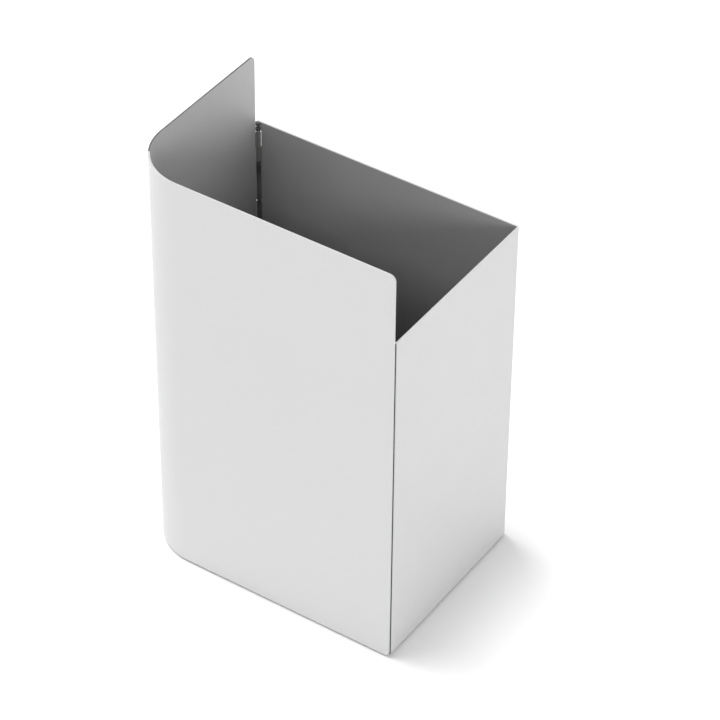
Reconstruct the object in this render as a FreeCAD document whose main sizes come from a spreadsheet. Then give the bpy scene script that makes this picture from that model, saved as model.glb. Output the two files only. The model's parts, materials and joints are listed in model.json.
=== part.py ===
"""Dog waste bin: an open-topped sheet-metal box of two folded L-shaped shells.

The low shell (right and back walls) stands on the ground with the floor tray.
The tall shell (front and left walls) is the emptying door, hung at the far-left
corner and locked at the near-right one.  A lift-out liner stands on the tray.

Frame: +X right along the front wall, +Y towards the back, +Z up, millimetres.
The origin is on the ground, under the middle of the plan.
"""

import FreeCAD, Part
import os
import Sketcher

PLANES = {"plan": "XY_Plane", "front": "XZ_Plane", "side": "YZ_Plane"}

doc = FreeCAD.newDocument("dog_waste_bin")


# ---------------------------------------------------------------- driving sizes

SIZES = {
    # the whole bin
    "width": 380,
    "depth": 270,
    "low_height": 495,
    "tall_height": 595,
    "ground_gap": 3,
    # folded sheet; bends are inner radii
    "sheet": 2.5,
    "big_bend": 73.5,
    "corner_bend": 1.5,
    "flange_bend": 0.5,
    "flange_width": 20,
    "top_round": 8,
    "foot_round": 6,
    "seam_gap": 3.5,
    # floor tray
    "tray_sheet": 2,
    "tray_flange": 25,
    "tray_door_gap": 3,
    "tray_corner": 9,
    "anchor_spacing_x": 240,
    "anchor_spacing_y": 130,
    "anchor_hole": 5.5,
    "drain_hole": 4,
    "drain_pitch": 55,
    # rubber feet
    "foot_height": 8,
    "foot_radius": 14,
    "foot_inset_x": 50,
    "foot_inset_y": 45,
    "foot_stem": 3,
    "foot_stem_fit": 0.05,
    "foot_bead": 4.5,
    "foot_bead_height": 3,
    # weld studs and their nuts
    "stud_radius": 2.45,
    "stud_length": 9.5,
    "stud_hole": 2.75,
    "nut_corner": 4.6,
    "nut_bore": 2.5,
    "nut_height": 4,
    "washer_face": 5,
    "washer_height": 1,
    "tray_stud_level": 22,
    "tray_stud_pitch_x": 110,
    "tray_stud_pitch_y": 55,
    # hinges
    "barrel_radius": 3.5,
    "barrel_length": 21,
    "hinge_play": 0.3,
    "pin_radius": 2,
    "pin_clearance": 0.05,
    "pin_head": 3,
    "pin_head_height": 1.6,
    "hinge_washer": 1,
    "hinge_washer_inset": 0.2,
    "axial_play": 0.2,
    "upper_hinge_drop": 15,
    "lower_hinge_level": 60,
    "back_edge_inset": 1.5,
    "notch_play": 0.5,
    "seal_radius": 3.3,
    "seal_gap": 0.5,
    "seal_clip_sheet": 0.2,
    "seal_clip_height": 3,
    "seal_clip_drop": 6.5,
    "seal_clip_pitch": 114,
    # lock, keep and door seal
    "lock_level": 430,
    "lock_inset": 22,
    "lock_setback": 34,
    "lock_plate": 2.5,
    "lock_plate_width": 44,
    "lock_plate_height": 40,
    "lock_leg": 40,
    "lock_barrel_radius": 9,
    "lock_barrel_length": 19,
    "lock_fit": 0.15,
    "lock_head_radius": 12,
    "lock_head_height": 2.5,
    "lock_nut_radius": 13,
    "lock_nut_height": 4,
    "core_radius": 5.5,
    "core_fit": 0.08,
    "core_tail": 3,
    "key_triangle": 4.6,
    "key_depth": 8,
    "cam_sheet": 2.5,
    "cam_length": 32,
    "cam_half_width": 7,
    "cam_play": 0.3,
    "cam_screw_radius": 4.5,
    "cam_screw_height": 3,
    "keep_sheet": 2.5,
    "keep_width": 25,
    "keep_base": 28,
    "keep_height": 50,
    "keep_play": 1.2,
    "bracket_stud_pitch": 13,
    "door_seal_inset": 0.6,
    "door_seal_width": 14,
    "door_seal_clearance": 0.3,
    "door_seal_end": 1,
    # liner and its handle
    "liner_side_gap": 23.5,
    "liner_back_gap": 18.5,
    "liner_front_gap": 19.5,
    "liner_height": 203,
    "liner_sheet": 1.5,
    "liner_corner": 25,
    "liner_lip": 8,
    "liner_pad_radius": 10,
    "liner_pad_height": 12,
    "liner_pad_inset": 60,
    "liner_pad_pitch": 50,
    "lug_sheet": 2,
    "lug_half_width": 14,
    "lug_drop": 34,
    "lug_rise": 11,
    "lug_rivet": 2.4,
    "lug_rivet_fit": 0.1,
    "lug_rivet_head": 4.5,
    "lug_rivet_head_height": 1.2,
    "lug_rivet_pitch": 9,
    "wire_radius": 2.5,
    "wire_fit": 0.1,
    "wire_bend": 14,
    "wire_end_bend": 3.5,
    "wire_rest": 0.3,
    "wire_lug_gap": 1,
}

sheet = doc.addObject("Spreadsheet::Sheet", "sizes")
for row, (name, value) in enumerate(SIZES.items(), start=1):
    sheet.set(f"A{row}", name.replace("_", " "))
    sheet.set(f"B{row}", str(value))
    sheet.setAlias(f"B{row}", name)
doc.recompute()


def bound(text):
    """Write size names as references to the sheet: 'width/2' -> 'sizes.width/2'."""
    words = ""
    out = ""
    for letter in text + " ":
        if letter.isalpha() or letter == "_" or (words and letter.isdigit()):
            words += letter
        else:
            out += f"sizes.{words}" if words in SIZES else words
            out += letter
            words = ""
    return out.strip()


def value(text):
    """The number that an expression in size names has now."""
    return float(sheet.evalExpression(bound(text)))


# ---------------------------------------------------------------- places used by several pieces

INNER_FRONT = "(-depth/2 + sheet)"
INNER_LEFT = "(-width/2 + sheet)"
INNER_RIGHT = "(width/2 - sheet)"
INNER_BACK = "(depth/2 - sheet)"
FLANGE_FRONT = f"({INNER_FRONT} + seam_gap)"
FLANGE_BACK = f"({FLANGE_FRONT} + sheet)"
HINGE_X = "(-width/2 + barrel_radius)"
HINGE_Y = "(depth/2 - barrel_radius)"
BODY_END = f"({HINGE_X} + barrel_radius + hinge_play)"
DOOR_END = f"({HINGE_Y} - barrel_radius - hinge_play)"
BACK_EDGE = "(-width/2 + back_edge_inset)"
TRAY_TOP = "(foot_height + tray_sheet)"
HINGE_SPAN = "(2*barrel_length + hinge_washer + axial_play)"
PIN_SPAN = f"({HINGE_SPAN} + axial_play + pin_head_height)"
HINGE_LEVELS = {
    "upper": f"(low_height - upper_hinge_drop - {HINGE_SPAN})",
    "lower": "lower_hinge_level",
}


# ---------------------------------------------------------------- drawing and solid helpers

pieces = []


def new_part(name):
    body = doc.addObject("PartDesign::Body", name)
    body.Label = name
    pieces.append(body)
    return body


def draw(part, plane, level, loops=(), circles=()):
    """A fully placed sketch on one of the part's own planes, `level` along its normal."""
    sketch = part.newObject("Sketcher::SketchObject", "outline")
    role = PLANES[plane]
    support = [item for item in part.Origin.OriginFeatures if item.Role == role][0]
    sketch.AttachmentSupport = [(support, "")]
    sketch.MapMode = "FlatFace"
    sketch.setExpression("AttachmentOffset.Base.z", bound(level))
    for corners in loops:
        add_loop(sketch, corners)
    for x, y, radius in circles:
        add_circle(sketch, x, y, radius)
    return sketch


def pin_point(sketch, index, end, x, y):
    for kind, text in (("DistanceX", x), ("DistanceY", y)):
        rule = Sketcher.Constraint(kind, -1, 1, index, end, value(text))
        number = sketch.addConstraint(rule)
        sketch.setExpression(f"Constraints[{number}]", bound(text))


def add_loop(sketch, corners):
    first = sketch.GeometryCount
    points = [FreeCAD.Vector(value(x), value(y), 0) for x, y in corners]
    for here, there in zip(points, points[1:] + points[:1]):
        sketch.addGeometry(Part.LineSegment(here, there), False)
    for step, (x, y) in enumerate(corners):
        follower = first + (step - 1) % len(corners)
        sketch.addConstraint(Sketcher.Constraint("Coincident", follower, 2, first + step, 1))
        pin_point(sketch, first + step, 1, x, y)


def add_circle(sketch, x, y, radius):
    centre = FreeCAD.Vector(value(x), value(y), 0)
    circle = Part.Circle(centre, FreeCAD.Vector(0, 0, 1), value(radius))
    index = sketch.addGeometry(circle, False)
    pin_point(sketch, index, 3, x, y)
    number = sketch.addConstraint(Sketcher.Constraint("Radius", index, value(radius)))
    sketch.setExpression(f"Constraints[{number}]", bound(radius))


def pad(part, sketch, length):
    feature = part.newObject("PartDesign::Pad", "pad")
    feature.Profile = sketch
    feature.setExpression("Length", bound(length))
    doc.recompute()
    return feature


def pocket(part, sketch, length):
    """Cut along the sketch's normal, and make sure that it removed something."""
    before = part.Shape.Volume
    feature = part.newObject("PartDesign::Pocket", "pocket")
    feature.Profile = sketch
    feature.Reversed = True
    feature.setExpression("Length", bound(length))
    doc.recompute()
    if part.Shape.Volume > before - 1e-6:
        raise RuntimeError(f"a pocket in {part.Label} cut nothing")
    return feature


def round_edges(part, radius, chosen):
    """Fillet the edges for which chosen(edge) is true."""
    base = part.Tip
    names = [f"Edge{i}" for i, edge in enumerate(base.Shape.Edges, start=1) if chosen(edge)]
    if not names:
        raise RuntimeError(f"no edge to round in {part.Label}")
    feature = part.newObject("PartDesign::Fillet", "bend")
    feature.Base = (base, names)
    feature.setExpression("Radius", bound(radius))
    doc.recompute()
    return feature


def hollow(part, wall):
    """Open the part at its top face and leave walls of one thickness inside its outline."""
    base = part.Tip
    top = base.Shape.BoundBox.ZMax
    before = base.Shape.Volume
    names = [f"Face{i}" for i, face in enumerate(base.Shape.Faces, start=1) if near(face.BoundBox.ZMin, top)]
    feature = part.newObject("PartDesign::Thickness", "hollow")
    feature.Base = (base, names)
    feature.Reversed = True
    feature.setExpression("Value", bound(wall))
    doc.recompute()
    if part.Shape.Volume > 0.5 * before:
        raise RuntimeError(f"{part.Label} was not hollowed")
    return feature


def rounded_block(name, plan, level, height, radius):
    """A tool body: a block with rounded uprights, used to cut another part."""
    tool = doc.addObject("PartDesign::Body", name)
    pad(tool, draw(tool, "plan", level, [plan]), height)
    round_edges(tool, radius, any_upright)
    return tool


def cut_with(part, tool):
    before = part.Shape.Volume
    feature = part.newObject("PartDesign::Boolean", "cut")
    feature.setObjects([tool])
    feature.Type = "Cut"
    doc.recompute()
    if part.Shape.Volume > before - 1e-6:
        raise RuntimeError(f"a cut in {part.Label} removed nothing")
    return feature


def near(first, second):
    return abs(first - second) < 1e-4


def upright_at(x, y):
    """Chooses the vertical edge over one point of the plan."""
    def chosen(edge):
        box = edge.BoundBox
        thin = box.XLength < 1e-4 and box.YLength < 1e-4
        return thin and near(box.XMin, value(x)) and near(box.YMin, value(y))
    return chosen


def any_upright(edge):
    box = edge.BoundBox
    return box.XLength < 1e-4 and box.YLength < 1e-4 and box.ZLength > 1


def across_sheet(x=None, y=None, z=None):
    """Chooses the short edges that cross the sheet at a free corner."""
    def chosen(edge):
        box = edge.BoundBox
        short = near(edge.Length, value("sheet"))
        hits = short and near(box.ZMin, value(z)) and near(box.ZMax, value(z))
        if x is not None:
            hits = hits and near(box.XMin, value(x)) and near(box.XMax, value(x))
        if y is not None:
            hits = hits and near(box.YMin, value(y)) and near(box.YMax, value(y))
        return hits
    return chosen


def rectangle(x0, y0, x1, y1):
    return [(x0, y0), (x1, y0), (x1, y1), (x0, y1)]


def hexagon(x, y, radius):
    corners = [(f"{x} + {radius}*cos({turn})", f"{y} + {radius}*sin({turn})") for turn in range(0, 360, 60)]
    return corners


def fix_nuts(part, plane, seat, away, places):
    """Flanged hexagon nuts on a plane; `seat` is where they bear, `away` is +1 along its normal or -1."""
    low = seat if away > 0 else f"{seat} - washer_height"
    rings = [(x, y, size) for x, y in places for size in ("washer_face", "nut_bore")]
    pad(part, draw(part, plane, low, circles=rings), "washer_height")
    low = f"{seat} + washer_height" if away > 0 else f"{seat} - washer_height - nut_height"
    loops = [hexagon(x, y, "nut_corner") for x, y in places]
    bores = [(x, y, "nut_bore") for x, y in places]
    pad(part, draw(part, plane, low, loops=loops, circles=bores), "nut_height")


# ---------------------------------------------------------------- low shell: right and back walls

body_shell = new_part("body_shell")
plan = [
    (BACK_EDGE, "depth/2"),
    ("width/2", "depth/2"),
    ("width/2", FLANGE_FRONT),
    ("width/2 - flange_width", FLANGE_FRONT),
    ("width/2 - flange_width", FLANGE_BACK),
    (INNER_RIGHT, FLANGE_BACK),
    (INNER_RIGHT, INNER_BACK),
    (BACK_EDGE, INNER_BACK),
]
pad(body_shell, draw(body_shell, "plan", "ground_gap", [plan]), "low_height - ground_gap")
round_edges(body_shell, "corner_bend + sheet", upright_at("width/2", "depth/2"))
round_edges(body_shell, "corner_bend", upright_at(INNER_RIGHT, INNER_BACK))
round_edges(body_shell, "flange_bend + sheet", upright_at("width/2", FLANGE_FRONT))
round_edges(body_shell, "flange_bend", upright_at(INNER_RIGHT, FLANGE_BACK))
notches = [
    rectangle(BACK_EDGE, f"{level} - notch_play", BODY_END, f"{level} + {PIN_SPAN} + notch_play")
    for level in HINGE_LEVELS.values()
]
pocket(body_shell, draw(body_shell, "front", "-depth/2", notches), "sheet")


# ---------------------------------------------------------------- tall shell: front and left walls

door_shell = new_part("door_shell")
plan = [
    ("width/2", "-depth/2"),
    ("-width/2", "-depth/2"),
    ("-width/2", DOOR_END),
    (INNER_LEFT, DOOR_END),
    (INNER_LEFT, INNER_FRONT),
    ("width/2", INNER_FRONT),
]
pad(door_shell, draw(door_shell, "plan", "ground_gap", [plan]), "tall_height - ground_gap")
round_edges(door_shell, "big_bend + sheet", upright_at("-width/2", "-depth/2"))
round_edges(door_shell, "big_bend", upright_at(INNER_LEFT, INNER_FRONT))
round_edges(door_shell, "top_round", across_sheet(x="width/2", z="tall_height"))
round_edges(door_shell, "top_round", across_sheet(y=DOOR_END, z="tall_height"))
round_edges(door_shell, "foot_round", across_sheet(x="width/2", z="ground_gap"))
round_edges(door_shell, "foot_round", across_sheet(y=DOOR_END, z="ground_gap"))


# ---------------------------------------------------------------- floor tray with anchor and drain holes

TRAY_LEFT = f"({INNER_LEFT} + tray_door_gap)"
FOOT_X = "(width/2 - foot_inset_x)"
FOOT_Y = "(depth/2 - foot_inset_y)"
FEET = [(f"{sx}{FOOT_X}", f"{sy}{FOOT_Y}") for sx in ("-", "") for sy in ("-", "")]
ANCHORS = [(f"{sx}anchor_spacing_x/2", f"{sy}anchor_spacing_y/2") for sx in ("-", "") for sy in ("-", "")]
TRAY_STUDS_BACK = [(f"{step}*tray_stud_pitch_x", "tray_stud_level") for step in (-1, 0, 1)]
TRAY_STUDS_RIGHT = [(f"{step}*tray_stud_pitch_y", "tray_stud_level") for step in (-1, 1)]

floor_tray = new_part("floor_tray")
outer = rectangle(TRAY_LEFT, FLANGE_BACK, INNER_RIGHT, INNER_BACK)
pad(floor_tray, draw(floor_tray, "plan", "foot_height", [outer]), "tray_flange")
round_edges(floor_tray, "big_bend - tray_door_gap", upright_at(TRAY_LEFT, FLANGE_BACK))
for corner in ((TRAY_LEFT, INNER_BACK), (INNER_RIGHT, FLANGE_BACK), (INNER_RIGHT, INNER_BACK)):
    round_edges(floor_tray, "tray_corner", upright_at(*corner))
hollow(floor_tray, "tray_sheet")
holes = [(x, y, "anchor_hole") for x, y in ANCHORS]
holes += [(x, y, "foot_stem") for x, y in FEET]
holes += [(f"{step}*drain_pitch", "0*drain_pitch", "drain_hole") for step in (-2, -1, 0, 1, 2)]
pocket(floor_tray, draw(floor_tray, "plan", "foot_height", circles=holes), "tray_sheet")
holes = [(x, z, "stud_hole") for x, z in TRAY_STUDS_BACK]
pocket(floor_tray, draw(floor_tray, "front", f"-{INNER_BACK}", circles=holes), "tray_sheet")
holes = [(y, z, "stud_hole") for y, z in TRAY_STUDS_RIGHT]
pocket(floor_tray, draw(floor_tray, "side", f"{INNER_RIGHT} - tray_sheet", circles=holes), "tray_sheet")

tray_studs = new_part("tray_studs")
studs = [(x, z, "stud_radius") for x, z in TRAY_STUDS_BACK]
pad(tray_studs, draw(tray_studs, "front", f"-{INNER_BACK}", circles=studs), "stud_length")
studs = [(y, z, "stud_radius") for y, z in TRAY_STUDS_RIGHT]
pad(tray_studs, draw(tray_studs, "side", f"{INNER_RIGHT} - stud_length", circles=studs), "stud_length")

tray_nuts = new_part("tray_nuts")
fix_nuts(tray_nuts, "front", f"-{INNER_BACK} + tray_sheet", 1, TRAY_STUDS_BACK)
fix_nuts(tray_nuts, "side", f"{INNER_RIGHT} - tray_sheet", -1, TRAY_STUDS_RIGHT)


# ---------------------------------------------------------------- rubber feet pushed into the tray

rubber_feet = new_part("rubber_feet")
discs = [(x, y, "foot_radius") for x, y in FEET]
pad(rubber_feet, draw(rubber_feet, "plan", "0*foot_height", circles=discs), "foot_height")
stems = [(x, y, "foot_stem - foot_stem_fit") for x, y in FEET]
pad(rubber_feet, draw(rubber_feet, "plan", "foot_height", circles=stems), "tray_sheet")
beads = [(x, y, "foot_bead") for x, y in FEET]
pad(rubber_feet, draw(rubber_feet, "plan", TRAY_TOP, circles=beads), "foot_bead_height")


# ---------------------------------------------------------------- weld-on hinges at the far-left corner

BODY_WEB = rectangle(HINGE_X, INNER_BACK, BODY_END, "depth/2")
DOOR_WEB = rectangle("-width/2", DOOR_END, INNER_LEFT, HINGE_Y)


def barrel(name, level, web, bore):
    """A drop-shaped weld-on barrel: a round eye with a flat tail to the wall's edge."""
    part = new_part(name)
    pad(part, draw(part, "plan", level, circles=[(HINGE_X, HINGE_Y, "barrel_radius")]), "barrel_length")
    pad(part, draw(part, "plan", level, [web]), "barrel_length")
    pocket(part, draw(part, "plan", level, circles=[(HINGE_X, HINGE_Y, bore)]), "barrel_length")


for place, level in HINGE_LEVELS.items():
    barrel(f"{place}_hinge_body_barrel", level, BODY_WEB, "pin_radius")
    door_level = f"({level} + barrel_length + hinge_washer + axial_play)"
    barrel(f"{place}_hinge_door_barrel", door_level, DOOR_WEB, "pin_radius + pin_clearance")

    washer = new_part(f"{place}_hinge_washer")
    rings = [(HINGE_X, HINGE_Y, "barrel_radius - hinge_washer_inset"), (HINGE_X, HINGE_Y, "pin_radius + pin_clearance")]
    pad(washer, draw(washer, "plan", f"{level} + barrel_length", circles=rings), "hinge_washer")

    pin = new_part(f"{place}_hinge_pin")
    stem = [(HINGE_X, HINGE_Y, "pin_radius")]
    pad(pin, draw(pin, "plan", level, circles=stem), f"{HINGE_SPAN} + axial_play")
    head = [(HINGE_X, HINGE_Y, "pin_head")]
    pad(pin, draw(pin, "plan", f"{level} + {HINGE_SPAN} + axial_play", circles=head), "pin_head_height")

hinge_gap_seal = new_part("hinge_gap_seal")
SEAL_RUNS = [
    ("(foot_height + tray_flange)", HINGE_LEVELS["lower"]),
    (f"({HINGE_LEVELS['lower']} + {PIN_SPAN})", HINGE_LEVELS["upper"]),
    (f"({HINGE_LEVELS['upper']} + {PIN_SPAN})", "low_height"),
]
BEHIND_WALL = rectangle("-width/2", INNER_BACK, BODY_END, "depth/2")
for start, stop in SEAL_RUNS:
    first = f"{start} + seal_gap"
    length = f"{stop} - {start} - 2*seal_gap"
    bulb = [(HINGE_X, HINGE_Y, "seal_radius")]
    pad(hinge_gap_seal, draw(hinge_gap_seal, "plan", first, circles=bulb), length)
    pocket(hinge_gap_seal, draw(hinge_gap_seal, "plan", first, [BEHIND_WALL]), length)

seal_clips = new_part("seal_clips")
for step in (0, 1, 2, 3):
    level = f"low_height - seal_clip_drop - {step}*seal_clip_pitch"
    rings = [(HINGE_X, HINGE_Y, "seal_radius + seal_clip_sheet"), (HINGE_X, HINGE_Y, "seal_radius")]
    pad(seal_clips, draw(seal_clips, "plan", level, circles=rings), "seal_clip_height")
    pocket(seal_clips, draw(seal_clips, "plan", level, [BEHIND_WALL]), "seal_clip_height")


# ---------------------------------------------------------------- lock on its bracket, key side to the inside

LOCK_X = "(width/2 - lock_inset)"
PLATE_FRONT = f"({INNER_FRONT} + lock_setback)"
PLATE_BACK = f"({PLATE_FRONT} + lock_plate)"
PLATE_LOW = "(lock_level - lock_plate_height/2)"
BARREL_TIP = f"({PLATE_BACK} - lock_barrel_length)"
CAM_BACK = f"({BARREL_TIP} - cam_play)"
CAM_FRONT = f"({CAM_BACK} - cam_sheet)"
BRACKET_STUD_Y = f"({PLATE_BACK} + lock_leg/2)"
BRACKET_STUDS = [(BRACKET_STUD_Y, f"lock_level {side} bracket_stud_pitch") for side in ("-", "+")]

lock_bracket = new_part("lock_bracket")
plan = [
    (INNER_RIGHT, PLATE_FRONT),
    (f"{INNER_RIGHT} - lock_plate_width", PLATE_FRONT),
    (f"{INNER_RIGHT} - lock_plate_width", PLATE_BACK),
    (f"{INNER_RIGHT} - lock_plate", PLATE_BACK),
    (f"{INNER_RIGHT} - lock_plate", f"{PLATE_BACK} + lock_leg"),
    (INNER_RIGHT, f"{PLATE_BACK} + lock_leg"),
]
pad(lock_bracket, draw(lock_bracket, "plan", PLATE_LOW, [plan]), "lock_plate_height")
round_edges(lock_bracket, "flange_bend + lock_plate", upright_at(INNER_RIGHT, PLATE_FRONT))
round_edges(lock_bracket, "flange_bend", upright_at(f"{INNER_RIGHT} - lock_plate", PLATE_BACK))
opening = [(LOCK_X, "lock_level", "lock_barrel_radius + lock_fit")]
pocket(lock_bracket, draw(lock_bracket, "front", f"-{PLATE_BACK}", circles=opening), "lock_plate")
holes = [(y, z, "stud_hole") for y, z in BRACKET_STUDS]
pocket(lock_bracket, draw(lock_bracket, "side", f"{INNER_RIGHT} - lock_plate", circles=holes), "lock_plate")

bracket_studs = new_part("bracket_studs")
studs = [(y, z, "stud_radius") for y, z in BRACKET_STUDS]
pad(bracket_studs, draw(bracket_studs, "side", f"{INNER_RIGHT} - stud_length", circles=studs), "stud_length")

bracket_nuts = new_part("bracket_nuts")
fix_nuts(bracket_nuts, "side", f"{INNER_RIGHT} - lock_plate", -1, BRACKET_STUDS)

lock_barrel = new_part("lock_barrel")
rings = [(LOCK_X, "lock_level", "lock_head_radius"), (LOCK_X, "lock_level", "core_radius + core_fit")]
pad(lock_barrel, draw(lock_barrel, "front", f"-{PLATE_BACK} - lock_head_height", circles=rings), "lock_head_height")
rings = [(LOCK_X, "lock_level", "lock_barrel_radius"), (LOCK_X, "lock_level", "core_radius + core_fit")]
pad(lock_barrel, draw(lock_barrel, "front", f"-{PLATE_BACK}", circles=rings), "lock_barrel_length")

lock_nut = new_part("lock_nut")
hexes = [hexagon(LOCK_X, "lock_level", "lock_nut_radius")]
bores = [(LOCK_X, "lock_level", "lock_barrel_radius + lock_fit")]
pad(lock_nut, draw(lock_nut, "front", f"-{PLATE_FRONT}", hexes, bores), "lock_nut_height")

lock_core = new_part("lock_core")
CORE_BACK = f"({PLATE_BACK} + lock_head_height)"
stem = [(LOCK_X, "lock_level", "core_radius")]
core_length = f"{CORE_BACK} - {CAM_BACK}"
pad(lock_core, draw(lock_core, "front", f"-{CORE_BACK}", circles=stem), core_length)
triangle = [(f"{LOCK_X} + key_triangle*cos({turn})", f"lock_level + key_triangle*sin({turn})")
            for turn in (90, 210, 330)]
pocket(lock_core, draw(lock_core, "front", f"-{CORE_BACK}", [triangle]), "key_depth")
tail = rectangle(
    f"{LOCK_X} - core_tail",
    "lock_level - core_tail",
    f"{LOCK_X} + core_tail",
    "lock_level + core_tail",
)
pad(lock_core, draw(lock_core, "front", f"-{CAM_BACK}", [tail]), "cam_sheet")

lock_cam = new_part("lock_cam")
strip = rectangle(
    f"{LOCK_X} - cam_half_width",
    "lock_level - cam_half_width",
    f"{LOCK_X} + cam_half_width",
    "lock_level + cam_length",
)
pad(lock_cam, draw(lock_cam, "front", f"-{CAM_BACK}", [strip, tail]), "cam_sheet")

cam_screw = new_part("cam_screw")
head = [hexagon(LOCK_X, "lock_level", "cam_screw_radius")]
pad(cam_screw, draw(cam_screw, "front", f"-{CAM_FRONT}", head), "cam_screw_height")


# ---------------------------------------------------------------- keep on the door, and the seal it closes on

KEEP_RIGHT = f"({LOCK_X} - lock_nut_radius - keep_play)"
KEEP_LEFT = f"({KEEP_RIGHT} - keep_width)"
LIP_FRONT = f"({CAM_BACK} + keep_play)"
KEEP_LOW = "(lock_level - keep_height/2)"
KEEP_STUD_X = f"({KEEP_LEFT} - keep_base/2)"
KEEP_STUDS = [(KEEP_STUD_X, f"lock_level {side} bracket_stud_pitch") for side in ("-", "+")]

lock_keep = new_part("lock_keep")
plan = [
    (f"{KEEP_LEFT} - keep_base", INNER_FRONT),
    (f"{KEEP_LEFT} + keep_sheet", INNER_FRONT),
    (f"{KEEP_LEFT} + keep_sheet", LIP_FRONT),
    (KEEP_RIGHT, LIP_FRONT),
    (KEEP_RIGHT, f"{LIP_FRONT} + keep_sheet"),
    (KEEP_LEFT, f"{LIP_FRONT} + keep_sheet"),
    (KEEP_LEFT, f"{INNER_FRONT} + keep_sheet"),
    (f"{KEEP_LEFT} - keep_base", f"{INNER_FRONT} + keep_sheet"),
]
pad(lock_keep, draw(lock_keep, "plan", KEEP_LOW, [plan]), "keep_height")
holes = [(x, z, "stud_hole") for x, z in KEEP_STUDS]
pocket(lock_keep, draw(lock_keep, "front", f"-({INNER_FRONT} + keep_sheet)", circles=holes), "keep_sheet")

keep_studs = new_part("keep_studs")
studs = [(x, z, "stud_radius") for x, z in KEEP_STUDS]
pad(keep_studs, draw(keep_studs, "front", f"-({INNER_FRONT} + stud_length)", circles=studs), "stud_length")

keep_nuts = new_part("keep_nuts")
fix_nuts(keep_nuts, "front", f"-({INNER_FRONT} + keep_sheet)", -1, KEEP_STUDS)

door_seal = new_part("door_seal")
SEAL_RIGHT = "(width/2 - door_seal_inset)"
band = rectangle(
    f"{SEAL_RIGHT} - door_seal_width",
    f"{FLANGE_FRONT} - seam_gap + door_seal_clearance",
    SEAL_RIGHT,
    FLANGE_FRONT,
)
seal_height = "low_height - ground_gap - 2*door_seal_end"
pad(door_seal, draw(door_seal, "plan", "ground_gap + door_seal_end", [band]), seal_height)


# ---------------------------------------------------------------- lift-out liner and its wire handle

LINER_LOW = f"({TRAY_TOP} + liner_pad_height)"
LINER_TOP = f"({LINER_LOW} + liner_height)"
LINER_X = f"({INNER_RIGHT} - liner_side_gap)"
LINER_FRONT = f"({PLATE_BACK} + lock_head_height + liner_front_gap)"
LINER_BACK = f"({INNER_BACK} - liner_back_gap)"
LINER_Y = f"({LINER_FRONT}/2 + {LINER_BACK}/2)"
WIRE_LEVEL = f"({LINER_TOP} + wire_radius + wire_rest)"
LUG_OUT = f"({LINER_X} - liner_sheet)"
LUG_IN = f"({LUG_OUT} - lug_sheet)"

liner = new_part("liner")
outer = rectangle(f"-{LINER_X}", LINER_FRONT, LINER_X, LINER_BACK)
pad(liner, draw(liner, "plan", LINER_LOW, [outer]), "liner_height")
round_edges(liner, "liner_corner", any_upright)
lip = rectangle(
    f"-{LINER_X} - liner_lip",
    f"{LINER_FRONT} - liner_lip",
    f"{LINER_X} + liner_lip",
    f"{LINER_BACK} + liner_lip",
)
pad(liner, draw(liner, "plan", f"{LINER_TOP} - liner_sheet", [lip]), "liner_sheet")
for side_x in ("-", ""):
    for side_y in (f"{LINER_FRONT} - liner_lip", f"{LINER_BACK} + liner_lip"):
        round_edges(liner, "liner_corner + liner_lip", upright_at(f"{side_x}({LINER_X} + liner_lip)", side_y))
cut_with(liner, rounded_block(
    "liner_hollow",
    rectangle(
        f"-{LINER_X} + liner_sheet",
        f"{LINER_FRONT} + liner_sheet",
        f"{LINER_X} - liner_sheet",
        f"{LINER_BACK} - liner_sheet",
    ),
    f"{LINER_LOW} + liner_sheet",
    "liner_height",
    "liner_corner - liner_sheet",
))
LUG_RIVETS = [
    (f"{LINER_Y} {side} lug_rivet_pitch", f"{LINER_TOP} - lug_drop/2") for side in ("-", "+")
]
for side_x in (f"-{LINER_X}", f"{LUG_OUT}"):
    holes = [(y, z, "lug_rivet + lug_rivet_fit") for y, z in LUG_RIVETS]
    pocket(liner, draw(liner, "side", side_x, circles=holes), "liner_sheet")

liner_pads = new_part("liner_pads")
PAD_X = f"({LINER_X} - liner_pad_inset)"
spots = [
    (f"{side_x}{PAD_X}", f"{LINER_Y} {side_y} liner_pad_pitch", "liner_pad_radius")
    for side_x in ("-", "")
    for side_y in ("-", "+")
]
pad(liner_pads, draw(liner_pads, "plan", TRAY_TOP, circles=spots), "liner_pad_height")

liner_lugs = new_part("liner_lugs")
tab = rectangle(
    f"{LINER_Y} - lug_half_width",
    f"{LINER_TOP} - lug_drop",
    f"{LINER_Y} + lug_half_width",
    f"{LINER_TOP} + lug_rise",
)
eyes = [(LINER_Y, WIRE_LEVEL, "wire_radius + wire_fit")]
eyes += [(y, z, "lug_rivet + lug_rivet_fit") for y, z in LUG_RIVETS]
for start in (f"-{LUG_OUT}", LUG_IN):
    pad(liner_lugs, draw(liner_lugs, "side", start, [tab], eyes), "lug_sheet")

lug_rivets = new_part("lug_rivets")
shanks = [(y, z, "lug_rivet") for y, z in LUG_RIVETS]
heads = [(y, z, "lug_rivet_head") for y, z in LUG_RIVETS]
for start, head_start in ((f"-{LINER_X}", f"-{LINER_X} - lug_rivet_head_height"), (LUG_IN, LINER_X)):
    pad(lug_rivets, draw(lug_rivets, "side", start, circles=shanks), "lug_sheet + liner_sheet")
    pad(lug_rivets, draw(lug_rivets, "side", head_start, circles=heads), "lug_rivet_head_height")

ARM_X = f"({LUG_IN} - wire_radius - wire_lug_gap)"
BAR_Y = f"({LINER_BACK} + liner_lip/2)"
route = [
    (f"-{LUG_OUT} - liner_lip/2", LINER_Y),
    (f"-{ARM_X}", LINER_Y),
    (f"-{ARM_X}", BAR_Y),
    (ARM_X, BAR_Y),
    (ARM_X, LINER_Y),
    (f"{LUG_OUT} + liner_lip/2", LINER_Y),
]


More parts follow.
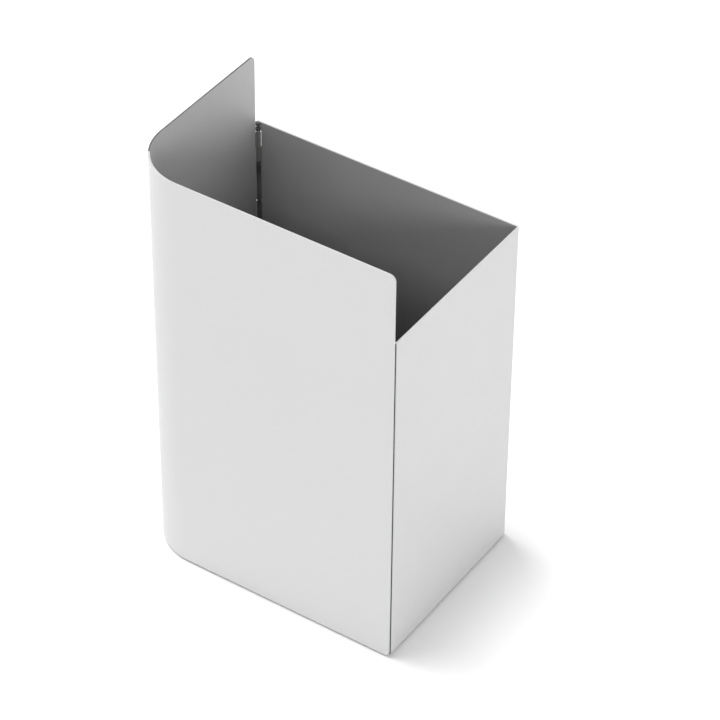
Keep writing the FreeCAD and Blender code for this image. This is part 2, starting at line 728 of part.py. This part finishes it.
def bent_wire(points, bends, radius, level):
    """A round wire along straight runs joined by tangent arcs."""
    corners = [FreeCAD.Vector(value(x), value(y), value(level)) for x, y in points]
    edges = []
    start = corners[0]
    for before, corner, after, bend in zip(corners, corners[1:], corners[2:], bends):
        back = (before - corner).normalize()
        ahead = (after - corner).normalize()
        enter = corner + back * bend
        leave = corner + ahead * bend
        middle = corner + (back + ahead) * bend * (1 - 0.5 ** 0.5)
        edges.append(Part.LineSegment(start, enter).toShape())
        edges.append(Part.Arc(enter, middle, leave).toShape())
        start = leave
    edges.append(Part.LineSegment(start, corners[-1]).toShape())
    spine = Part.Wire(edges)
    direction = (corners[1] - corners[0]).normalize()
    section = Part.Wire([Part.makeCircle(radius, corners[0], direction)])
    return spine.makePipeShell([section], True, True)


liner_handle = doc.addObject("Part::Feature", "liner_handle")
liner_handle.Label = "liner_handle"
small = value("wire_end_bend")
large = value("wire_bend")
liner_handle.Shape = bent_wire(route, [small, large, large, small], value("wire_radius"), WIRE_LEVEL)
liner_handle.Placement = FreeCAD.Placement()
pieces.append(liner_handle)


# ---------------------------------------------------------------- check and write

doc.recompute()
for item in doc.Objects:
    if "Invalid" in item.State or "Error" in item.State:
        raise RuntimeError(f"{item.Label} did not build: {item.State}")

for piece in pieces:
    if piece.Shape.isNull() or not piece.Shape.isValid():
        raise RuntimeError(f"{piece.Label} has no valid shape")

os.makedirs("parts", exist_ok=True)
for piece in pieces:
    piece.Shape.exportStep(f"parts/{piece.Label}.step")
    print(piece.Label, len(piece.Shape.Solids), round(piece.Shape.Volume / 1000, 2))
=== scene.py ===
"""Dog waste bin: an open-topped box of two folded steel shells, one of them the emptying door."""
import bmesh
import bpy
import json
import math
from mathutils import Matrix, Vector

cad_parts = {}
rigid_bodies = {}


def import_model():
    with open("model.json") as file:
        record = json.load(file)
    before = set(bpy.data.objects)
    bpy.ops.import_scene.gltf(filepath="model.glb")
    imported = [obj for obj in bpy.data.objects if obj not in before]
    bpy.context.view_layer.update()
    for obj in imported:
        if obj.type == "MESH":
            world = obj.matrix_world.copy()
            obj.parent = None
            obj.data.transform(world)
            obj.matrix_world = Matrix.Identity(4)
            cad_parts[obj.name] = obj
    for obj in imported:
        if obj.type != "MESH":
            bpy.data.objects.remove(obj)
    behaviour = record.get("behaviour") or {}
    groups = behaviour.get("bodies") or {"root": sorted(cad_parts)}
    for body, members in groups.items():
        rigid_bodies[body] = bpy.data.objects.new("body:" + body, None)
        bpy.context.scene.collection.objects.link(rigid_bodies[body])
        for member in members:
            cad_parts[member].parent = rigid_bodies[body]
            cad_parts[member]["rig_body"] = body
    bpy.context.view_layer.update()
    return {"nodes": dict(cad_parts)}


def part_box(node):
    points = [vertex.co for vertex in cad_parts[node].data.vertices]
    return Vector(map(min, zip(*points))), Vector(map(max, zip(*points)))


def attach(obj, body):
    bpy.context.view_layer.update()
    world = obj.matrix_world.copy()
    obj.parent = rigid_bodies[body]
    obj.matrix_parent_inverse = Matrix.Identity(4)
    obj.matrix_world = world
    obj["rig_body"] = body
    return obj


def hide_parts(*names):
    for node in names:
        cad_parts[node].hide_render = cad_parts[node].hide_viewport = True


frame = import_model()
nodes = frame["nodes"]


# ---------------------------------------------------------------- outside and inside coats
# The folded shells are steel sheet, powder coated light grey outside and a darker
# grey inside, with painted shade that darkens the inside towards the bottom.  The coat has a fine
# orange-peel ripple and a satin sheen.

def new_material(name, colour, roughness, metallic=0.0, specular=0.5):
    material = bpy.data.materials.new(name)
    material.use_nodes = True
    shader = material.node_tree.nodes["Principled BSDF"]
    shader.inputs["Base Color"].default_value = (*colour, 1)
    shader.inputs["Roughness"].default_value = roughness
    shader.inputs["Metallic"].default_value = metallic
    shader.inputs["Specular IOR Level"].default_value = specular
    return material


def pattern(material, kind, scale, **sockets):
    """A procedural texture on Object coordinates, so it stays fixed to the piece."""
    tree = material.node_tree
    place = tree.nodes.new("ShaderNodeTexCoord")
    texture = tree.nodes.new(kind)
    texture.inputs["Scale"].default_value = scale
    for socket, amount in sockets.items():
        texture.inputs[socket].default_value = amount
    tree.links.new(place.outputs["Object"], texture.inputs["Vector"])
    return texture


def ramp(material, source, stops):
    """Colours or greys along a pattern: stops are (position, colour) pairs."""
    tree = material.node_tree
    node = tree.nodes.new("ShaderNodeValToRGB")
    for place, (position, colour) in enumerate(stops):
        stop = node.color_ramp.elements[place] if place < 2 else node.color_ramp.elements.new(position)
        stop.position = position
        stop.color = (*colour, 1)
    tree.links.new(source, node.inputs["Fac"])
    return node.outputs["Color"]


def feed(material, socket, output):
    shader = material.node_tree.nodes["Principled BSDF"]
    material.node_tree.links.new(output, shader.inputs[socket])


def bump(material, height, depth, strength):
    tree = material.node_tree
    node = tree.nodes.new("ShaderNodeBump")
    node.inputs["Strength"].default_value = strength
    node.inputs["Distance"].default_value = depth
    tree.links.new(height, node.inputs["Height"])
    feed(material, "Normal", node.outputs["Normal"])


def grey(level):
    return (level, level, level * 1.004)


def powder_coat(name, level, roughness, peel):
    """Satin grey coat: a faint change of tone and gloss, and an orange-peel ripple."""
    coat = new_material(name, grey(level), roughness)
    tone = pattern(coat, "ShaderNodeTexNoise", 3.5, Detail=3.0)
    shades = [(0.3, grey(level * 0.985)), (0.7, grey(level))]
    feed(coat, "Base Color", ramp(coat, tone.outputs["Fac"], shades))
    gloss = pattern(coat, "ShaderNodeTexNoise", 40.0, Detail=4.0)
    shine = [(0.3, grey(roughness * 0.9)), (0.7, grey(roughness * 1.1))]
    feed(coat, "Roughness", ramp(coat, gloss.outputs["Fac"], shine))
    ripple = pattern(coat, "ShaderNodeTexNoise", 650.0, Detail=2.0, Roughness=0.55)
    bump(coat, ripple.outputs["Fac"], 0.00004, peel)
    return coat


SHADE_WAVER = 0.06


def shaded_inside_coat(name, roughness, peel, depths):
    """The inside coat: painted shade darkens it towards the bottom, in uneven runs.

    depths are (height above the ground in metres, grey level) pairs, from the lowest up."""
    coat = powder_coat(name, depths[-1][1], roughness, peel)
    tree = coat.node_tree
    place = tree.nodes.new("ShaderNodeTexCoord")
    height = tree.nodes.new("ShaderNodeSeparateXYZ")
    tree.links.new(place.outputs["Object"], height.inputs["Vector"])
    waver_noise = pattern(coat, "ShaderNodeTexNoise", 9.0, Detail=4.0)
    waver = tree.nodes.new("ShaderNodeMath")
    waver.operation = "MULTIPLY_ADD"
    waver.inputs[1].default_value = SHADE_WAVER
    tree.links.new(waver_noise.outputs["Fac"], waver.inputs[0])
    tree.links.new(height.outputs["Z"], waver.inputs[2])
    shades = [(z + SHADE_WAVER / 2, grey(level)) for z, level in depths]
    feed(coat, "Base Color", ramp(coat, waver.outputs["Value"], shades))
    return coat


outside_coat = powder_coat("outside_coat", 0.577, 0.40, 0.35)
# Painted shade: the inside coats' grey falls with height, darker towards the bottom.
door_inside = shaded_inside_coat("door_inside", 0.5, 0.4, [(0.20, 0.14), (0.31, 0.25), (0.42, 0.42), (0.49, 0.46)])
body_inside = shaded_inside_coat("body_inside", 0.5, 0.4, [(0.20, 0.14), (0.30, 0.30), (0.38, 0.46), (0.46, 0.39)])
# Painted shade: a near-black coat on the cut rims stands in for the shade on the sheet's edges.
shaded_rim_coat = powder_coat("shaded_rim_coat", 0.11, 0.5, 0.3)


# ---------------------------------------------------------------- folded shells
# Both shells are 2.5 mm sheet, cut flat, folded on a press brake and coated.
# The tall one has one wide bend and rounded free corners; the low one has
# tight bends and a return flange behind the door's free edge.

SHEET = 0.0025
ARRIS = 0.00025
OUTSIDE, INSIDE, RIM = 0, 1, 2


def finished(name, shape, materials, body, sharp=40):
    """Turn a bmesh into a smooth-shaded object that rides on a body."""
    mesh = bpy.data.meshes.new(name)
    for face in shape.faces:
        face.smooth = True
    shape.to_mesh(mesh)
    shape.free()
    for material in materials:
        mesh.materials.append(material)
    piece = bpy.data.objects.new(name, mesh)
    bpy.context.scene.collection.objects.link(piece)
    mesh.set_sharp_from_angle(angle=math.radians(sharp))
    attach(piece, body)
    return piece


def soften(piece, radius, segments=3, sharp=40):
    edge = piece.modifiers.new("arris", "BEVEL")
    edge.width = radius
    edge.segments = segments
    edge.limit_method = "ANGLE"
    edge.angle_limit = math.radians(sharp)
    edge.harden_normals = True


def folded_sheet(corners, low, high, folds, rounds, outward):
    """The outer skin of a folded sheet: its corners in plan, fold radii and free-corner radii."""
    shape = bmesh.new()
    foot = [shape.verts.new((x, y, low)) for x, y in corners]
    edges = [shape.edges.new(pair) for pair in zip(foot, foot[1:])]
    raised = bmesh.ops.extrude_edge_only(shape, edges=edges)["geom"]
    top = [item for item in raised if isinstance(item, bmesh.types.BMVert)]
    bmesh.ops.translate(shape, verts=top, vec=(0, 0, high - low))
    for x, y, radius, steps in folds:
        line = Vector((x, y))
        fold = [e for e in shape.edges if all((v.co.xy - line).length < 1e-6 for v in e.verts)]
        bmesh.ops.bevel(shape, geom=fold, offset=radius, segments=steps, profile=0.5,
                        affect="EDGES", material=-1, clamp_overlap=False)
    for x, y, z, radius in rounds:
        spot = Vector((x, y, z))
        corner = [v for v in shape.verts if (v.co - spot).length < 1e-6]
        bmesh.ops.bevel(shape, geom=corner, offset=radius, segments=10, profile=0.5,
                        affect="VERTICES", material=-1, clamp_overlap=False)
    bmesh.ops.recalc_face_normals(shape, faces=list(shape.faces))
    widest = max(shape.faces, key=lambda face: face.calc_area())
    if widest.normal.dot(Vector(outward)) < 0:
        bmesh.ops.reverse_faces(shape, faces=list(shape.faces))
    return shape


def shell(name, shape, body, inside_coat, shaded_rim_left_of):
    """Sheet thickness inwards: light outside and rims, darker inside; the far-left rim is dark with painted
    shade.
    """
    piece = finished(name, shape, [outside_coat, inside_coat, shaded_rim_coat], body)
    wall = piece.modifiers.new("sheet", "SOLIDIFY")
    wall.thickness = SHEET
    wall.offset = -1
    wall.use_even_offset = True
    wall.material_offset = INSIDE
    wall.material_offset_rim = RIM
    graph = bpy.context.evaluated_depsgraph_get()
    solid = bpy.data.meshes.new_from_object(piece.evaluated_get(graph))
    piece.modifiers.clear()
    piece.data = solid
    # Rims left of the mark keep the painted shade; the rest take the outside coat.
    for face in solid.polygons:
        if face.material_index == RIM and face.center.x > shaded_rim_left_of:
            face.material_index = OUTSIDE
    soften(piece, ARRIS, sharp=50)
    return piece


BIG_BEND = 0.076
SHADED_RIM_END = 0.013
TOP_ROUND = 0.008
FOOT_ROUND = 0.006
(door_left, door_front, door_low), (door_right, door_end, door_high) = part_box("door_shell")
plan = [(door_right, door_front), (door_left, door_front), (door_left, door_end)]
folds = [(door_left, door_front, BIG_BEND, 32)]
rounds = [(door_right, door_front, door_high, TOP_ROUND), (door_left, door_end, door_high, TOP_ROUND)]
rounds += [(door_right, door_front, door_low, FOOT_ROUND), (door_left, door_end, door_low, FOOT_ROUND)]
shape = folded_sheet(plan, door_low, door_high, folds, rounds, (0, -1, 0))
door_skin = shell("door_skin", shape, "door", door_inside, door_left + SHADED_RIM_END)
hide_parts("door_shell")

CORNER_BEND = 0.004
FLANGE_BEND = 0.003
FLANGE_WIDTH = 0.020
NOTCH_PLAY = 0.0005


def notched(shape, edge, low, high):
    """Cut a rectangular notch into the back wall's free edge, from its end to `edge`."""
    for spot, normal in (((0, 0, low), (0, 0, 1)), ((0, 0, high), (0, 0, 1)), ((edge, 0, 0), (1, 0, 0))):
        everything = list(shape.verts) + list(shape.edges) + list(shape.faces)
        bmesh.ops.bisect_plane(shape, geom=everything, dist=1e-7, plane_co=spot, plane_no=normal)
    middles = [(face, face.calc_center_median()) for face in shape.faces]
    waste = [face for face, spot in middles if spot.x < edge and low < spot.z < high]
    bmesh.ops.delete(shape, geom=waste, context="FACES")


(wall_left, flange_front, wall_low), (wall_right, wall_back, wall_high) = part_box("body_shell")
plan = [(wall_left, wall_back), (wall_right, wall_back), (wall_right, flange_front)]
plan += [(wall_right - FLANGE_WIDTH, flange_front)]
folds = [(wall_right, wall_back, CORNER_BEND, 10), (wall_right, flange_front, FLANGE_BEND, 8)]
shape = folded_sheet(plan, wall_low, wall_high, folds, [], (0, 1, 0))
for place in ("upper", "lower"):
    barrel_low, barrel_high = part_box(f"{place}_hinge_body_barrel")
    pin_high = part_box(f"{place}_hinge_pin")[1]
    notched(shape, barrel_high.x, barrel_low.z - NOTCH_PLAY, pin_high.z + NOTCH_PLAY)
body_skin = shell("body_skin", shape, "body", body_inside, wall_left)
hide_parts("body_shell")


# ---------------------------------------------------------------- floor tray with its studs, nuts and feet
# Pressed from galvanised sheet, whose zinc shows large pale crystals, and held on
# weld studs by flanged nuts.  Four rubber feet are pushed into it from below.

def galvanised():
    zinc = new_material("galvanised_sheet", (0.55, 0.57, 0.59), 0.38, metallic=1.0)
    crystals = pattern(zinc, "ShaderNodeTexVoronoi", 85.0, Randomness=1.0)
    shades = [(0.0, (0.44, 0.46, 0.48)), (0.5, (0.56, 0.58, 0.60)), (1.0, (0.68, 0.69, 0.71))]
    feed(zinc, "Base Color", ramp(zinc, crystals.outputs["Color"], shades))
    feed(zinc, "Roughness", ramp(zinc, crystals.outputs["Color"], [(0.0, grey(0.30)), (1.0, grey(0.52))]))
    drag = pattern(zinc, "ShaderNodeTexNoise", 120.0, Detail=3.0)
    bump(zinc, drag.outputs["Fac"], 0.00006, 0.3)
    return zinc


def turned(name, colour, roughness, rings):
    """Bare turned metal: faint machining rings seen as fine stripes and changing gloss."""
    metal = new_material(name, colour, roughness, metallic=1.0)
    stripes = pattern(metal, "ShaderNodeTexNoise", rings, Detail=2.0)
    gloss = [(0.3, grey(roughness * 0.8)), (0.7, grey(roughness * 1.3))]
    feed(metal, "Roughness", ramp(metal, stripes.outputs["Fac"], gloss))
    bump(metal, stripes.outputs["Fac"], 0.00002, 0.3)
    return metal


def weathered_rubber(name, level):
    """Black rubber, greyed in uneven patches by dust and sun."""
    rubber = new_material(name, grey(level), 0.72, specular=0.3)
    grain = pattern(rubber, "ShaderNodeTexNoise", 1400.0, Detail=2.0)
    dust = pattern(rubber, "ShaderNodeTexNoise", 30.0, Detail=5.0)
    bloom = [(0.35, grey(level * 0.7)), (0.75, grey(level * 1.7))]
    feed(rubber, "Base Color", ramp(rubber, dust.outputs["Fac"], bloom))
    bump(rubber, grain.outputs["Fac"], 0.00005, 0.4)
    return rubber


def dress(material, arris, *names):
    """Stand for each named node with its own shape, merged, smooth-shaded and with its edges eased."""
    for name in names:
        shape = bmesh.new()
        shape.from_mesh(nodes[name].data)
        bmesh.ops.remove_doubles(shape, verts=list(shape.verts), dist=1e-6)
        bmesh.ops.dissolve_limit(shape, angle_limit=math.radians(1),
                                 verts=list(shape.verts), edges=list(shape.edges))
        piece = finished(f"finished_{name}", shape, [material], nodes[name]["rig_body"], sharp=35)
        if arris:
            soften(piece, arris, segments=2, sharp=35)
        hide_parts(name)


zinc_sheet = galvanised()
bright_zinc = turned("bright_zinc", (0.66, 0.67, 0.69), 0.28, 900.0)
rubber = weathered_rubber("moulded_rubber", 0.028)
dress(zinc_sheet, 0.0003, "floor_tray")
dress(bright_zinc, 0.0003, "tray_studs", "tray_nuts")
dress(rubber, 0.0010, "rubber_feet")


# ---------------------------------------------------------------- hinges
# Drop-shaped steel barrels are welded to the walls' edges and coated dark grey, a dark that also stands in
# for the shade at the hinge corner.
# They turn on ground stainless pins, over turned brass washers.

stainless = turned("stainless", (0.72, 0.72, 0.73), 0.22, 500.0)
brass = turned("brass", (0.80, 0.62, 0.30), 0.25, 900.0)
# Dark grey coat, partly painted shade for the shaded hinge corner.
barrel_coat_and_shade = powder_coat("barrel_coat_and_shade", 0.20, 0.45, 0.3)
WELD_RADIUS = 0.0011
WELD_RIPPLE = 0.0013


def weld(name, x, y, low, high, body):
    """A bead of overlapping drops along an upright joint."""
    shape = bmesh.new()
    count = int((high - low) / WELD_RIPPLE)
    for step in range(count):
        spot = Matrix.Translation((x, y, low + WELD_RIPPLE * (step + 0.5)))
        bmesh.ops.create_icosphere(shape, subdivisions=2, radius=WELD_RADIUS, matrix=spot)
    bead = finished(name, shape, [barrel_coat_and_shade], body)


for place in ("upper", "lower"):
    dress(barrel_coat_and_shade, 0.0003, f"{place}_hinge_body_barrel", f"{place}_hinge_door_barrel")
    dress(stainless, 0.0003, f"{place}_hinge_pin")
    dress(brass, 0.0002, f"{place}_hinge_washer")
    low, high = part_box(f"{place}_hinge_body_barrel")
    weld(f"{place}_body_weld", high.x, high.y - SHEET, low.z, high.z, "body")
    low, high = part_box(f"{place}_hinge_door_barrel")
    weld(f"{place}_door_weld", low.x + SHEET, door_end, low.z, high.z, "door")


# ---------------------------------------------------------------- hinge gap seal
# An extruded rubber bulb closes the gap at the hinged corner between the hinges.
# It is bonded to the back wall and held at intervals by thin stainless clips.

seal_rubber = weathered_rubber("seal_rubber", 0.09)
dress(seal_rubber, 0.0003, "hinge_gap_seal")
dress(stainless, 0, "seal_clips")


# ---------------------------------------------------------------- lock
# A quarter-turn lock for a triangular key: satin-chromed barrel and core in a
# galvanised bracket, with a pressed cam on the core's square tail.

satin_chrome = turned("satin_chrome", (0.78, 0.78, 0.79), 0.18, 300.0)
dress(zinc_sheet, 0.0003, "lock_bracket", "lock_cam")
dress(bright_zinc, 0.0003, "bracket_studs", "bracket_nuts", "lock_nut", "cam_screw")
dress(satin_chrome, 0.0003, "lock_barrel", "lock_core")


# ---------------------------------------------------------------- keep and door seal
# The keep is a galvanised hook on two studs of the door.  The door closes on a
# black rubber strip glued to the return flange, whose black also stands in for the shade in the seam.

dress(zinc_sheet, 0.0003, "lock_keep")
dress(bright_zinc, 0.0003, "keep_studs", "keep_nuts")
# The seal's black rubber partly paints the shade of the seam gap.
dress(rubber, 0.0003, "door_seal")


# ---------------------------------------------------------------- liner
# The lift-out liner is a folded and seam-welded steel box, coated dark grey, with
# a turned-out and hemmed rim; its dark coat also paints shade into the bin's depths.  A stainless wire
# handle hangs in two riveted lugs.

LINER_SHEET = 0.0015
LINER_CORNER = 0.025
LINER_LIP = 0.008
LINER_HEM = 0.004
FOOT_BEND = 0.006
# Dark grey coat, partly painted shade for the bin's deep interior.
liner_coat = powder_coat("liner_coat", 0.075, 0.42, 0.4)
(lip_left, lip_front, liner_low), (lip_right, lip_back, liner_high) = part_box("liner")
shape = bmesh.new()
middle = Vector(((lip_left + lip_right) / 2, (lip_front + lip_back) / 2, (liner_low + liner_high) / 2))
span = Vector((lip_right - lip_left, lip_back - lip_front, liner_high - liner_low))
span -= Vector((2 * LINER_LIP, 2 * LINER_LIP, 0))
bmesh.ops.create_cube(shape, size=1, matrix=Matrix.Translation(middle) @ Matrix.Diagonal((*span, 1)))
uprights = [e for e in shape.edges if abs(e.verts[0].co.z - e.verts[1].co.z) > 0.01]
bmesh.ops.bevel(shape, geom=uprights, offset=LINER_CORNER, segments=12, profile=0.5,
                affect="EDGES", material=-1, clamp_overlap=False)
lid = [f for f in shape.faces if f.calc_center_median().z > liner_high - 1e-5]
bmesh.ops.delete(shape, geom=lid, context="FACES_ONLY")
ground = [e for e in shape.edges if all(v.co.z < liner_low + 1e-6 for v in e.verts)]
bmesh.ops.bevel(shape, geom=ground, offset=FOOT_BEND, segments=5, profile=0.5,
                affect="EDGES", material=-1, clamp_overlap=False)


def turned_out(edges, out, down):
    """Extrude a ring of rim edges outwards, or down, square to the liner's rounded plan."""
    ring = bmesh.ops.extrude_edge_only(shape, edges=edges)["geom"]
    core = (span.x / 2 - LINER_CORNER, span.y / 2 - LINER_CORNER)
    for vert in (item for item in ring if isinstance(item, bmesh.types.BMVert)):
        x, y = vert.co.x - middle.x, vert.co.y - middle.y
        centre = Vector((max(-core[0], min(core[0], x)), max(-core[1], min(core[1], y))))
        away = (Vector((x, y)) - centre).normalized() * out
        vert.co += Vector((away.x, away.y, -down))
    return [item for item in ring if isinstance(item, bmesh.types.BMEdge)]


rim = [e for e in shape.edges if e.is_boundary]
rim = turned_out(rim, LINER_LIP - LINER_SHEET, 0)
turned_out(rim, 0, LINER_HEM)
bmesh.ops.recalc_face_normals(shape, faces=list(shape.faces))
liner_bucket = finished("liner_bucket", shape, [liner_coat], "liner")
wall = liner_bucket.modifiers.new("sheet", "SOLIDIFY")
wall.thickness = LINER_SHEET
wall.offset = -1
wall.use_even_offset = True
soften(liner_bucket, 0.0004, sharp=50)
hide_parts("liner")
dress(rubber, 0.0008, "liner_pads")
dress(zinc_sheet, 0.0003, "liner_lugs")
dress(bright_zinc, 0.0004, "lug_rivets")
dress(stainless, 0, "liner_handle")


# ---------------------------------------------------------------- floor, light and camera
# A plain white floor in a pale surround, brighter low down.  One light stands high
# on the left, a broad one low on the left, and a low one fills from the front right.

bpy.ops.mesh.primitive_plane_add(size=40)
floor = bpy.context.object
floor.name = "studio_floor"
paper = new_material("floor_paper", (0.97, 0.97, 0.97), 0.9, specular=0.0)
floor.data.materials.append(paper)

world = bpy.data.worlds.new("surround")
bpy.context.scene.world = world
world.use_nodes = True
sky = world.node_tree
direction = sky.nodes.new("ShaderNodeTexCoord")
upward = sky.nodes.new("ShaderNodeSeparateXYZ")
bands = sky.nodes.new("ShaderNodeValToRGB")
for position, level in ((0.15, 0.96), (0.40, 0.70)):
    bands.color_ramp.elements.new(position).color = (level, level, level, 1)
bands.color_ramp.elements[-1].color = (0.58, 0.58, 0.58, 1)
bands.color_ramp.elements[0].color = (1.1, 1.1, 1.1, 1)
sky.links.new(direction.outputs["Generated"], upward.inputs["Vector"])
sky.links.new(upward.outputs["Z"], bands.inputs["Fac"])
sky.links.new(bands.outputs["Color"], sky.nodes["Background"].inputs["Color"])
sky.nodes["Background"].inputs["Strength"].default_value = 0.95


def sun(name, azimuth, height, spread, power):
    """Parallel soft light: azimuth counted from the front towards the right."""
    lamp = bpy.data.lights.new(name, "SUN")
    lamp.energy = power
    lamp.angle = math.radians(spread)
    holder = bpy.data.objects.new(name, lamp)
    bpy.context.scene.collection.objects.link(holder)
    turn, rise = math.radians(azimuth), math.radians(height)
    toward = Vector((math.sin(turn) * math.cos(rise), -math.cos(turn) * math.cos(rise), math.sin(rise)))
    holder.rotation_mode = "QUATERNION"
    holder.rotation_quaternion = toward.to_track_quat("Z", "Y")


sun("top_light", -75, 81, 14, 1.35)
sun("side_light", -97, 24, 60, 1.6)
sun("fill_light", 50, 14, 15, 0.75)

LENS_LENGTH = 167.75
VIEW_PLACE = (1.7705, -2.5860, 2.9114)
VIEW_AZIMUTH = math.radians(33.568)
VIEW_ELEVATION = math.radians(39.879)
VIEW_ROLL = math.radians(0.553)
lens = bpy.data.cameras.new("camera")
lens.sensor_width = 36
lens.lens = LENS_LENGTH
camera = bpy.data.objects.new("camera", lens)
bpy.context.scene.collection.objects.link(camera)
stand = Matrix.Translation(VIEW_PLACE)
swing = Matrix.Rotation(VIEW_AZIMUTH, 4, "Z") @ Matrix.Rotation(math.pi / 2 - VIEW_ELEVATION, 4, "X")
camera.matrix_world = stand @ swing @ Matrix.Rotation(VIEW_ROLL, 4, "Z")
bpy.context.scene.camera = camera
bpy.context.scene.view_settings.view_transform = "Standard"
